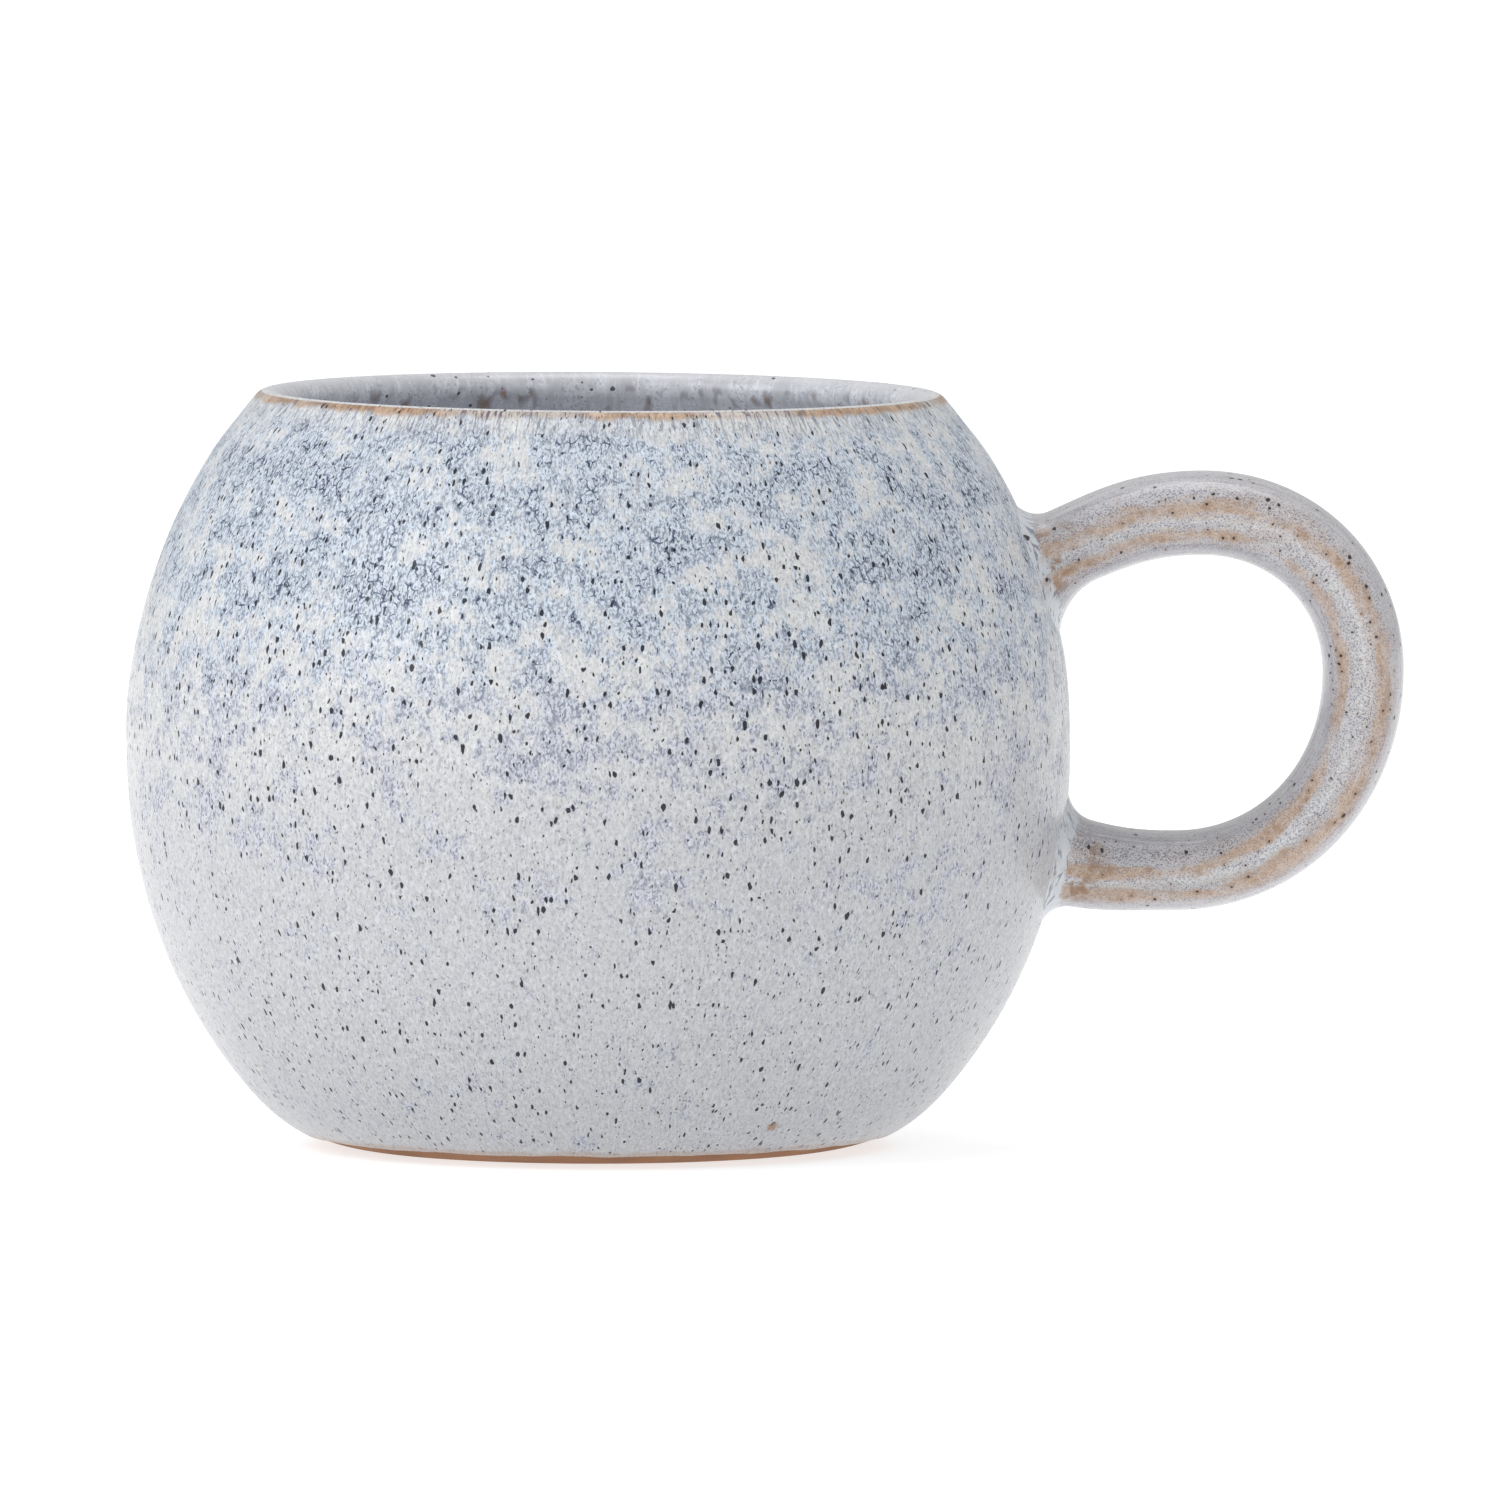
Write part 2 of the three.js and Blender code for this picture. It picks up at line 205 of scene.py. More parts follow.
class Wall:
    """The cup's wall in millimetres. Its mid-line is a quarter ellipse from the belly up to the mouth and
    another from the belly down to the heel. Clay and coats lie at stated distances from it along its normal.
    A run is a pair of arrays, places and normals, each with [radius, height] last."""

    def __init__(self, s):
        self.s = s
        self.lip = s.lip_thickness / 2
        self.skin = self.lip + s.glaze_thickness
        self.radius = s.cup_diameter / 2 - self.skin
        self.lip_centre = np.array([s.mouth_diameter / 2, s.cup_height - self.skin])
        self.lip_angle = math.acos(self.lip_centre[0] / self.radius)
        self.heel_angle = -math.acos(s.heel_diameter / 2 / self.radius)
        self.shoulder = (self.lip_centre[1] - s.belly_height) / math.sin(self.lip_angle)
        self.base = (s.heel_height - s.belly_height) / math.sin(self.heel_angle)
        normal = self.at(self.lip_angle, 0)[1]
        self.lip_out = math.atan2(normal[1], normal[0])
        heel = self.at(self.heel_angle, self.lip)
        self.heel = (*heel, 0.0, s.foot_diameter / 2, 1)
        self.glaze_line = math.sqrt(s.bare_foot / heel[0][1])
        self.cove_angle = self.angle_at(s.floor_thickness + s.cove_rise)
        cove = self.at(self.cove_angle, self.inside(self.cove_angle))
        self.cove = (*cove, s.floor_thickness, s.floor_diameter / 2, -1)

    def at(self, angle, offset):
        """The mid-line at an ellipse's own angle, 0 at the belly, moved by offset along the normal."""
        angle = np.asarray(angle, float)
        axis = np.where(angle > 0, self.shoulder, self.base)
        normal = np.stack([axis * np.cos(angle), self.radius * np.sin(angle)], -1)
        normal = normal / np.linalg.norm(normal, axis=-1, keepdims=True)
        place = np.stack([self.radius * np.cos(angle), self.s.belly_height + axis * np.sin(angle)], -1)
        return place + np.asarray(offset)[..., None] * normal, normal

    def inside(self, angle):
        """Offset of the clay's inside, which thickens from the lip's half thickness to the belly's."""
        share = np.where(np.asarray(angle) > 0, np.cos(np.clip(angle / self.lip_angle, 0, 1) * TAU / 4), 1.0)
        return -(self.lip + (self.s.belly_thickness - 2 * self.lip) * share)

    def angle_at(self, height):
        """The angle at which the clay's inside has a height, found by halving."""
        low, high = -TAU / 4, TAU / 4
        for _ in range(50):
            middle = (low + high) / 2
            if self.at(middle, self.inside(middle))[0][1] < height:
                low = middle
            else:
                high = middle
        return high

    def corner(self, ends, share):
        """A round corner as a quadratic Bezier curve, tangent to the wall at its top, where share is 1, and
        level at the edge of a disc, where share is 0."""
        top, out, level, disc, side = ends
        along = np.array([out[1], -out[0]])
        start, turn = np.array([disc, level]), top + along * (level - top[1]) / along[1]
        t = np.asarray(share, float)[..., None]
        place = (1 - t) ** 2 * start + 2 * t * (1 - t) * turn + t * t * top
        heading = (1 - t) * (turn - start) + t * (top - turn)
        normal = np.stack([heading[..., 1], -heading[..., 0]], -1) * side
        return place, normal / np.linalg.norm(normal, axis=-1, keepdims=True)

    def lip_round(self, angle, radius=None):
        """The half circle of the lip's clay, or of another radius, by the angle about its centre."""
        angle = np.asarray(angle, float)
        normal = np.stack([np.cos(angle), np.sin(angle)], -1)
        return self.lip_centre + (radius or self.lip) * normal, normal

    def nearest(self, radius, height):
        """Signed distance from the base coat's outside, and the wall's place and normal there. The angle of
        the nearest mid-line point is found by Newton's method on the slope of the squared distance."""
        z = height - self.s.belly_height
        axis = np.where(z > 0, self.shoulder, self.base)
        angle = np.arctan2(z / axis, radius / self.radius)
        for _ in range(12):
            cos, sin = np.cos(angle), np.sin(angle)
            slope = (radius - self.radius * cos) * self.radius * sin - (z - axis * sin) * axis * cos
            bend = (self.radius * sin) ** 2 + (axis * cos) ** 2
            bend += (radius - self.radius * cos) * self.radius * cos + (z - axis * sin) * axis * sin
            angle = angle - slope / np.maximum(bend, 1)
        place, normal = self.at(angle, np.full(np.shape(angle), self.skin))
        gap = np.stack([radius, height], -1) - place
        return (gap * normal).sum(-1), place, normal


def joined(*runs):
    """Runs one after another, without the first row of each later one, which repeats the row before it."""
    first, *later = runs
    return tuple(np.concatenate([first[i], *(run[i][1:] for run in later)]) for i in (0, 1))


def lifted(run, distance):
    """The places of a run, moved along their normals."""
    return run[0] + np.asarray(distance)[..., None] * run[1]


def steps(low, high, count, columns):
    """Even steps as a column of rows. low and high may differ from one grid column to the next."""
    share = np.linspace(0, 1, count)[:, None]
    return np.broadcast_to(low + (high - low) * share, (count, columns))


def waves(turn, height, seed, reach):
    """A smooth uneven height over the cup: eight sine waves of random direction and phase, about as long as
    reach, whose sum stays within 1."""
    random = np.random.default_rng(seed)
    total = 0
    for _ in range(8):
        lobes = random.integers(1, max(2, round(160 / reach)))
        rise = random.uniform(-1, 1) * TAU / (2 * reach)
        total = total + np.sin(lobes * turn + rise * height + random.uniform(0, TAU)) / 8
    return total


def settled(points, wall, hold=1.0):
    """The mouth of a hand-made cup is a little off its foot's axis and not quite level. From the belly up the
    points move towards the handle and fall on that side, in step with a smooth share of the height. hold is
    how far each point follows the cup."""
    s = wall.s
    share = hold * smooth(points[..., 2], s.belly_height, s.cup_height)
    moved = points.copy()
    moved[..., 0] += s.lip_lean * share
    moved[..., 2] -= s.lip_fall * share * points[..., 0] / s.mouth_diameter
    return moved


def turned(profile):
    """Points of a profile turned about the cup's axis, one grid column to each angle."""
    turn = TAU * np.arange(profile.shape[1]) / profile.shape[1]
    radius, height = profile[..., 0], profile[..., 1]
    return np.stack([radius * np.cos(turn), radius * np.sin(turn), height], -1)


def flow_of(points, wall):
    """Pattern coordinates that follow the glaze as it ran: the place round the cup on its widest circle, and
    the length of wall up to the lip's ridge, as a negative number."""
    heel = wall.corner(wall.heel, np.linspace(0, 1, 400))[0]
    side = wall.at(np.linspace(wall.heel_angle, wall.lip_angle, 800), wall.skin)[0]
    lip = wall.lip_round(np.linspace(wall.lip_out, TAU / 4, 100), wall.skin)[0]
    line = np.concatenate([heel, side, lip])
    line[:, 1] = np.maximum.accumulate(line[:, 1])
    length = np.concatenate([[0], np.cumsum(np.linalg.norm(np.diff(line, axis=0), axis=-1))])
    x, y, height = points[..., 0], points[..., 1], points[..., 2]
    radius = np.maximum(np.hypot(x, y), 1e-6) / (wall.s.cup_diameter / 2)
    return np.stack([x / radius, y / radius, np.interp(height, line[:, 1], length) - length[-1]], -1)


# ---- The handle ------------------------------------------------------------------------------------


class Strap:
    """The handle's surface in millimetres. A path of four cubic Bezier curves carries a superellipse section,
    |a|^n + |b|^n = 1, where a is across the strap in the loop's plane, +1 outside, and b is along Y. Its ends
    flare on to the cup in fillets, quarter circles in the distance from the wall."""

    # The superellipse's power, and how far the path goes on into the cup at each end.
    power, overrun = 2.9, 5.0
    # Length of a Bezier arm: as a share of the way it turns through on the loop, and of the chord at a root.
    loop_arm, root_arm = 0.57, 0.4
    # Fillet radii at the section's inside, its outside and its flat sides.
    upper_fillet = (5.6, 3.0, 3.6)
    lower_fillet = (2.8, 2.4, 3.2)
    # Where the ridges run: shares of the length, and the places there from -1 inside to 1 outside.
    inner_line = ([0, 0.2, 0.45, 0.6, 0.75, 0.88, 1], [-0.45, -0.42, -0.56, -0.58, -0.36, -0.06, 0.0])
    outer_line = ([0, 0.2, 0.35, 0.5, 0.65, 0.8, 1], [0.22, 0.2, 0.3, 0.55, 0.52, 0.56, 0.66])
    inner_width, outer_width, groove_width = 0.2, 0.3, 0.24
    # Shares of the thickness: more where the length's share is crest, a little less all round, and the
    # swelling inside, from swell_start to the lower end.
    crest, thicker, thinner = 0.28, 0.035, 0.005
    swell_start, swell = 0.87, 0.24
    # How deep the sleeve's ends go into the cup's glaze, and how far along the path a flare may reach.
    sunk, flare_reach = 0.3, 20

    def __init__(self, s, wall):
        self.s, self.wall = s, wall
        upper, upper_out = self.root(s.upper_root)
        lower, lower_out = self.root(s.lower_root)
        half = s.strap_thickness / 2
        top = np.array([s.top_reach, s.loop_top - half])
        side = np.array([s.loop_reach - half, s.loop_middle])
        bottom = np.array([s.bottom_reach, s.loop_bottom + half])
        right, down, left = np.array([1, 0]), np.array([0, -1]), np.array([-1, 0])
        one, two = self.root_arm * math.dist(upper, top), self.root_arm * math.dist(bottom, lower)
        (over, drop), (under, rise) = self.loop_arm * (side - top), self.loop_arm * (side - bottom)
        ends = [
            (upper, upper + upper_out * one, top - right * one, top),
            (top, top + right * over, side + down * drop, side),
            (side, side + down * rise, bottom - left * under, bottom),
            (bottom, bottom + left * two, lower + lower_out * two, lower),
        ]
        t = np.linspace(0, 1, 400)[:, None]
        weights = (1 - t) ** 3, 3 * t * (1 - t) ** 2, 3 * t * t * (1 - t), t**3
        curve = [sum(w * p for w, p in zip(weights, four)) for four in ends]
        line = np.vstack([curve[0], *(c[1:] for c in curve[1:])])
        line = np.vstack([upper - upper_out * self.overrun, line, lower - lower_out * self.overrun])
        step = np.concatenate([[0], np.cumsum(np.linalg.norm(np.diff(line, axis=0), axis=-1))])
        self.length = step[-1] - 2 * self.overrun
        self.table = step - self.overrun
        heading = np.gradient(line, self.table, axis=0)
        heading[0], heading[-1] = upper_out, -lower_out
        heading /= np.linalg.norm(heading, axis=-1, keepdims=True)
        self.line = np.hstack([line, np.stack([-heading[:, 1], heading[:, 0]], -1)])

    def root(self, height):
        """Where the centre line meets the cup's clay, square to it."""
        angle = np.linspace(-1, 1, 4000)
        place, normal = self.wall.at(angle, np.full(angle.shape, self.wall.lip))
        i = np.argmin(np.abs(place[:, 1] - height))
        return place[i], normal[i]

    def section(self, columns):
        """Even steps round the superellipse, and the direction out of it."""
        angle = np.linspace(0, TAU, 4001)
        cos, sin = np.cos(angle), np.sin(angle)
        a = np.sign(cos) * np.abs(cos) ** (2 / self.power)
        b = np.sign(sin) * np.abs(sin) ** (2 / self.power)
        half, wide = self.s.strap_thickness / 2, self.s.strap_width / 2
        length = np.concatenate([[0], np.cumsum(np.hypot(np.diff(a * half), np.diff(b * wide)))])
        even = np.linspace(0, length[-1], columns + 1)[:-1]
        a, b = np.interp(even, length, a), np.interp(even, length, b)
        out = np.stack([np.sign(c) * np.abs(c) ** (self.power - 1) / r for c, r in ((a, half), (b, wide))])
        return a, b, out / np.linalg.norm(out, axis=0)

    def ridges(self, along, a):
        """The two raised lines along each flat side and the groove between them, each 0 to 1. They wander
        across the strap as it goes round."""
        share = np.clip(along / self.length, 0, 1)
        inner, outer = np.interp(share, *self.inner_line), np.interp(share, *self.outer_line)
        lines = (inner, self.inner_width), (outer, self.outer_width), ((inner + outer) / 2, self.groove_width)
        return [np.exp(-(((a - line) / width) ** 2)) for line, width in lines]

    def surface(self, along, a, b):
        """Points of the plain strap, without its flares. The strap is a little thicker over the top, and it
        swells on the inside towards its lower end."""
        x, z, nx, nz = (np.interp(along, self.table, self.line[:, i]) for i in range(4))
        share = np.clip(along / self.length, 0, 1)
        round_loop = 1 + self.thicker * np.cos(TAU * (share - self.crest)) - self.thinner
        half = self.s.strap_thickness / 2 * round_loop
        half = half * (1 + self.swell * smooth(share, self.swell_start, 1.0) * np.maximum(-a, 0))
        first, second, groove = self.ridges(along, a)
        flat = smooth(np.abs(b), 0.8, 0.98)
        wide = self.s.strap_width / 2 + flat * self.s.side_groove * (0.3 * np.maximum(first, second) - groove)
        return np.stack([x + nx * a * half, b * wide, z + nz * a * half], -1)

    def fillet(self, a, inner, outer, side):
        """Radius of the flare round the section."""
        return side + (outer - side) * np.maximum(a, 0) ** 2 + (inner - side) * np.maximum(-a, 0) ** 2

    def distance(self, points):
        """Distance of points from the cup's outside."""
        return self.wall.nearest(np.hypot(points[..., 0], points[..., 1]), points[..., 2])[0]

    def flare(self, a, b, out, radius, low, high, count):
        """Rows from the wall out to the strap. At a turn from 0 to a quarter, the row is radius * (1 - sin)
        from the wall and radius * (1 - cos) outside the strap. Rows go from a quarter down to 0."""
        along = np.linspace(low, high, 300)[:, None] + 0 * a
        gap = self.distance(self.surface(along, a, b))
        turn = np.linspace(TAU / 4, 0, count)[:, None]
        want = radius * (1 - np.sin(turn))
        below = (gap[None] < want[:, None]).cumprod(1).sum(1).clip(1, len(along) - 1)
        g0, g1 = (np.take_along_axis(gap, below - k, 0) for k in (1, 0))
        s0, s1 = (np.take_along_axis(along, below - k, 0) for k in (1, 0))
        at = s0 + (s1 - s0) * np.clip((want - g0) / (g1 - g0), 0, 1)
        base = self.surface(at, a, b)
        nx, nz = (np.interp(at, self.table, self.line[:, i]) for i in (2, 3))
        sideways = np.stack([nx * out[0], 0 * nx + out[1], nz * out[0]], -1)
        moved = base + (radius * (1 - np.cos(turn)))[..., None] * sideways
        reach = np.hypot(moved[..., 0], moved[..., 1])
        _, place, normal = self.wall.nearest(reach, moved[..., 2])
        rise = want - self.sunk * smooth(turn, TAU / 4 * 0.8, TAU / 4)
        place = place + normal * rise[..., None]
        moved[..., 0] *= place[..., 0] / reach
        moved[..., 1] *= place[..., 0] / reach
        moved[..., 2] = place[..., 1]
        return moved, at

    def grid(self, rows, columns, flare_rows):
        """The whole outside from wall to wall: points, length along the path and place across the section."""
        a, b, out = self.section(columns)
        upper = self.fillet(a, *self.upper_fillet)[None]
        lower = self.fillet(a, *self.lower_fillet)[None]
        start, end, reach = -self.overrun, self.length + self.overrun, self.flare_reach
        first, first_at = self.flare(a, b, out, upper, start, reach, flare_rows)
        last, last_at = self.flare(a, b, out, lower, end, self.length - reach, flare_rows)
        middle_at = first_at[-1] + (last_at[-1] - first_at[-1]) * np.linspace(0, 1, rows)[1:-1, None]
        points = np.concatenate([first, self.surface(middle_at, a, b), last[::-1]])
        along = np.concatenate([first_at, middle_at, last_at[::-1]])
        return points, along, a + 0 * along, b + 0 * along


def grid_normals(points):
    """Unit normals of a grid whose columns close, from the differences between neighbours."""
    down = np.gradient(points, axis=0)
    across = np.roll(points, -1, axis=1) - np.roll(points, 1, axis=1)
    normal = np.cross(down, across)
    normal /= np.maximum(np.linalg.norm(normal, axis=-1, keepdims=True), 1e-9)
    centre = points.mean(1, keepdims=True)
    outward = np.sign(((points - centre) * normal).sum(-1).mean())
    return normal * outward


# ---- Shader maths ----------------------------------------------------------------------------------


class Wire:
    """A socket in a material's tree. Arithmetic between wires, numbers and triples adds Math nodes, or Vector
    Math nodes where either side is a colour or a vector."""

    def __init__(self, socket, vector=None):
        self.socket = socket
        self.vector = socket.type in {"VECTOR", "RGBA"} if vector is None else vector

    def node(self, kind, settings=None, inputs=None, output=0, vector=None):
        """Adds a node, with its settings made first, then its sockets' values or links."""
        made = self.socket.id_data.nodes.new(kind)
        for name, value in (settings or {}).items():
            if name == "stops":
                stops = made.color_ramp.elements
                stops.remove(stops[1])
                stops[0].position, stops[0].color = value[0]
                for position, shade in value[1:]:
                    stops.new(position).color = shade
            else:
                setattr(made, name, value)
        for name, value in (inputs or {}).items():
            if isinstance(value, Wire):
                made.id_data.links.new(value.socket, made.inputs[name])
            else:
                made.inputs[name].default_value = value
        return Wire(made.outputs[output], vector)

    def other(self, output):
        """Another output of the node that this wire leaves."""
        return Wire(self.socket.node.outputs[output])

    def math(self, operation, *others):
        """This wire and others through one Math or Vector Math node."""
        sides = [self, *others]
        if any(side.vector if isinstance(side, Wire) else isinstance(side, tuple) for side in sides):
            triples = [(side,) * 3 if isinstance(side, (int, float)) else side for side in sides]
            inputs, output = dict(enumerate(triples)), 1 if operation == "LENGTH" else 0
            return self.node("ShaderNodeVectorMath", {"operation": operation}, inputs, output)
        return self.node("ShaderNodeMath", {"operation": operation}, dict(enumerate(sides)))

    def reflected(self, operation, other):
        """A number or triple on the left of this wire."""
        if isinstance(other, tuple) or self.vector:
            triple = other if isinstance(other, tuple) else (other,) * 3
            return self.node("ShaderNodeVectorMath", {"operation": operation}, {0: triple, 1: self})
        return self.node("ShaderNodeMath", {"operation": operation}, {0: other, 1: self})

    def __add__(self, other):
        return self.math("ADD", other)

    def __radd__(self, other):
        return self.reflected("ADD", other)

    def __sub__(self, other):
        return self.math("SUBTRACT", other)

    def __rsub__(self, other):
        return self.reflected("SUBTRACT", other)

    def __mul__(self, other):
        return self.math("MULTIPLY", other)

    def __rmul__(self, other):
        return self.reflected("MULTIPLY", other)

    def __pow__(self, other):
        return self.math("POWER", other)

    def most(self, other):
        """The greater of two values."""
        return self.math("MAXIMUM", other)

    def parts(self):
        """The three values of a vector."""
        first = self.node("ShaderNodeSeparateXYZ", None, {0: self})
        return first, first.other("Y"), first.other("Z")

    def between(self, low, high):
        """0 at low, 1 at high, smooth between them. low may be the greater one."""
        inputs = {"Value": self, "From Min": low, "From Max": high}
        return self.node("ShaderNodeMapRange", {"interpolation_type": "SMOOTHSTEP"}, inputs)

    def curve(self, low, high, *stops):
        """A value that goes straight from stop to stop, each (place from low to high, value from 0 to 1)."""
        share = (self - low) * (1 / (high - low))
        ramp = [((place - low) / (high - low), (value, value, value, 1)) for place, value in stops]
        return share.node("ShaderNodeValToRGB", {"stops": ramp}, {0: share}, vector=False)

    def noise(self, length, detail=2.0, roughness=0.5, output="Fac"):
        """Noise whose lumps are about that long, in the vector's own unit."""
        inputs = {"Vector": self, "Scale": 1 / length, "Detail": detail, "Roughness": roughness}
        return self.node("ShaderNodeTexNoise", None, inputs, output)

    def cells(self, length, feature="F1"):
        """Random cells about that long. The distance is in shares of a cell."""
        inputs = {"Vector": self, "Scale": 1 / length}
        return self.node("ShaderNodeTexVoronoi", {"feature": feature}, inputs, "Distance")

    def shaken(self, reach, length, detail=1.0):
        """This vector, moved at random by up to about reach."""
        return self + (self.noise(length, detail, output="Color") - 0.5) * (2 * reach)

    def blend(self, first, second):
        """first where this wire is 0, second where it is 1."""
        first, second = (tuple(c) + (1,) if not isinstance(c, Wire) else c for c in (first, second))
        return self.node("ShaderNodeMix", {"data_type": "RGBA"}, {0: self, 6: first, 7: second}, 2)


class Finish:
    """A material with one Principled BSDF and the wires that its pattern starts from."""

    def __init__(self, name):
        self.material = bpy.data.materials.new(name)
        self.material.use_nodes = True
        nodes = self.material.node_tree.nodes
        nodes.clear()
        self.shader = nodes.new("ShaderNodeBsdfPrincipled")
        output = nodes.new("ShaderNodeOutputMaterial")
        self.material.node_tree.links.new(self.shader.outputs[0], output.inputs["Surface"])
        self.place = Wire(nodes.new("ShaderNodeTexCoord").outputs["Object"]) * (1 / MM)

    def attribute(self, name):
        """A vector stored on the mesh."""
        return self.place.node("ShaderNodeAttribute", {"attribute_name": name}, None, "Vector")

    def paint(self, colour, roughness, relief=None, **sockets):
        """Links the colour, the roughness and a relief in millimetres, and sets other sockets to numbers."""
        inputs, links = self.shader.inputs, self.material.node_tree.links
        for name, value in {"Base Color": colour, "Roughness": roughness, **sockets}.items():
            if isinstance(value, Wire):
                links.new(value.socket, inputs[name.replace("_", " ")])
            else:
                inputs[name.replace("_", " ")].default_value = value
        if relief is not None:
            bump = relief.node("ShaderNodeBump", None, {"Height": relief, "Distance": MM, "Strength": 1.0})
            links.new(bump.socket, inputs["Normal"])
        return self.material


def spots(flow, cell, smallest, largest, share):
    """Round spots of mixed sizes. Each cell of a cell pattern draws a random radius in millimetres, and only
    a share of the cells has a spot at all. The edge is ragged by noise. Returns the spots, the distance from
    the nearest one's middle, which cells have one, and a random number for each."""
    ragged, sharp, soft = 0.5, 0.001, 0.03
    pattern = flow.shaken(ragged * largest, largest * 1.6).cells(cell)
    pick, tint, size = pattern.other("Color").parts()
    seen = pick.between(1 - share - sharp, 1 - share + sharp)
    gap = pattern * cell
    spot = (size * size * (largest - smallest) + smallest - gap).between(-soft, soft) * seen
    return spot, gap, seen, tint


# ---- Glazes and clay -------------------------------------------------------------------------------


def outside_finish(glaze):
    """The speckled white glaze and the blue reactive glaze, which share one pattern, so that the second coat
    fades into the first. Blue covers more of the wall the higher it is. It is a fine dark stipple with thin
    lines that curl round small cells, and cream shows between its patches. Below, it breaks into lilac
    clouds. Iron spots come through everywhere, some in a halo, and at the lip the glaze is so thin that the
    clay shows."""
    f = Finish("speckled_reactive_glaze")
    height = f.place.parts()[2]
    flow = f.attribute("flow")
    below = flow.parts()[2] * -1
    run = flow * (1, 1, 0.58)

    # Where the blue coat lies, from 0, none, to 1, thick. More iron comes through where it is thick.
    top = 80
    rise = (16, 0), (26, 0.14), (36, 0.27), (45, 0.37), (54, 0.53), (63, 0.65), (72, 0.68), (80, 0.62)
    cover = height.curve(0, top, *rise)
    share = height.curve(0, top, (0, 0.62), (30, 0.5), (42, 0.8), (56, 0.95), (68, 0.75), (80, 0.4))
    dark, gap, seen, tint = spots(run.shaken(0.22, 0.6), 0.7, 0.05, 0.25, share)
    halo = gap.between(1.3, 0.2) * seen * tint.between(0.6, 0.8)
    broad = (flow * (0.85, 0.85, 1.1)).shaken(1.5, 5).noise(8, 2) - 0.5
    torn = (flow * (0.9, 0.9, 1.2)).shaken(0.8, 1.5).noise(3.5, 2, 0.6) - 0.5
    fleck = run.noise(0.9, 1, 0.6) - 0.5
    field = cover + broad * 1.7 + torn * 1.9 + fleck * 0.8
    patch = (field + halo * 0.4).between(0.26, 0.9)
    deep = field.between(0.6, 1.0) * height.between(44, 56)
    tinted = height.between(42, 60).blend(glaze.lilac, glaze.blue)
    colour = patch.blend(height.between(30, 55).blend(glaze.white, glaze.cream), tinted)
    colour = colour * (1 - deep * 0.06)

    # The stipple, and fine dark and light lines round the cells.
    fine = run.shaken(0.15, 0.4).noise(0.26, 1, 0.5)
    stipple = (fine + patch * 0.03).between(0.54, 0.61)
    curl = flow.shaken(0.3, 0.6, 2)
    walls = (curl * (1, 1, 0.85)).cells(1.05, "DISTANCE_TO_EDGE")
    broken = run.noise(0.6, 1, 0.5)
    netting = walls.between(0.1, 0.03) * broken.between(0.42, 0.54)
    pale = walls.between(0.2, 0.13) * walls.between(0.05, 0.12) * broken.between(0.56, 0.44)
    lines = (stipple * (0.15 + patch * 0.42)).most(netting * (patch * 0.3 + deep * 0.7))
    colour = (pale * (0.15 + deep * 0.5)).blend(colour, glaze.cream)
    colour = lines.blend(colour, glaze.line)

    # The lip, where the glaze ran thin, and the fringe of streaks under it.
    streak = (flow * (1, 1, 0.2)).shaken(0.2, 0.9)
    rivulets = streak.noise(0.4, 2, 0.6)
    tone = flow.noise(3.4, 2, 0.5)
    fade = flow.noise(26, 1).between(0.36, 0.5)
    fringe = below.between(6, 2.2) * rivulets.between(0.5, 0.62)
    colour = (below.between(5, 2.2) * 0.5).blend(colour, glaze.cream)
    colour = (fringe * 0.5).blend(colour, glaze.line)
    band = (below + (rivulets - 0.5) * 1.2 + (tone - 0.5) * 1.5).between(2.1, 1.3) * below.between(0.55, 0.8)
    rim = (rivulets * 0.5 + tone * 0.5).between(0.38, 0.6).blend(glaze.tan, glaze.rust)
    colour = (band * (0.45 + fade * 0.5)).blend(colour, rim)
    colour = (band * (1 - fade * 0.8) * rivulets.between(0.53, 0.62) * 0.75).blend(colour, glaze.line)
    # Cream on the crown of the lip above the brown band: pale glaze there, and in part a painted highlight
    # along the ridge.
    colour = below.between(0.8, 0.55).blend(colour, glaze.cream)

    # Iron spots and pepper.
    small, _, _, _ = spots(run + 31.7, 0.5, 0.03, 0.12, 0.7)
    pepper = (run + 12.3).noise(0.24, 1, 0.5).between(0.62, 0.7)
    colour = (pepper * (0.4 - patch * 0.1)).blend(colour, glaze.line)
    colour = (small * 0.75).blend(colour, glaze.ink)
    colour = (dark * 0.95).blend(colour, glaze.ink)
    grain = run.noise(0.4, 2, 0.8)
    colour = colour * (1 + (grain - 0.5) * (0.85 + patch * 0.05))
    # Painted shade: the glaze is darkened towards the foot, where less light falls on the cup.
    colour = colour * (0.84 + height.between(-6, 34) * 0.16)
    colour = ((height + (tone - 0.5) * 0.8).between(2.0, 1.5) * 0.4).blend(colour, glaze.rust)

    # A burst blister low on the front.
    blister = (18.2, -30.3, 4.4)
    scar = ((f.place - blister).math("LENGTH") + (fine - 0.5) * 1.6).between(0.85, 0.35)
    colour = (scar * 0.85).blend(colour, glaze.rust)

    relief = flow.noise(1.8, 3, 0.6) * 0.05 + grain * 0.004 - lines * 0.01 - dark * 0.03
    relief = relief + (flow * (1, 1, 0.1)).noise(2.4, 2, 0.5) * 0.05
    return f.paint(colour, 0.26 + lines * 0.12, relief, IOR=1.42, Specular_IOR_Level=0.35)


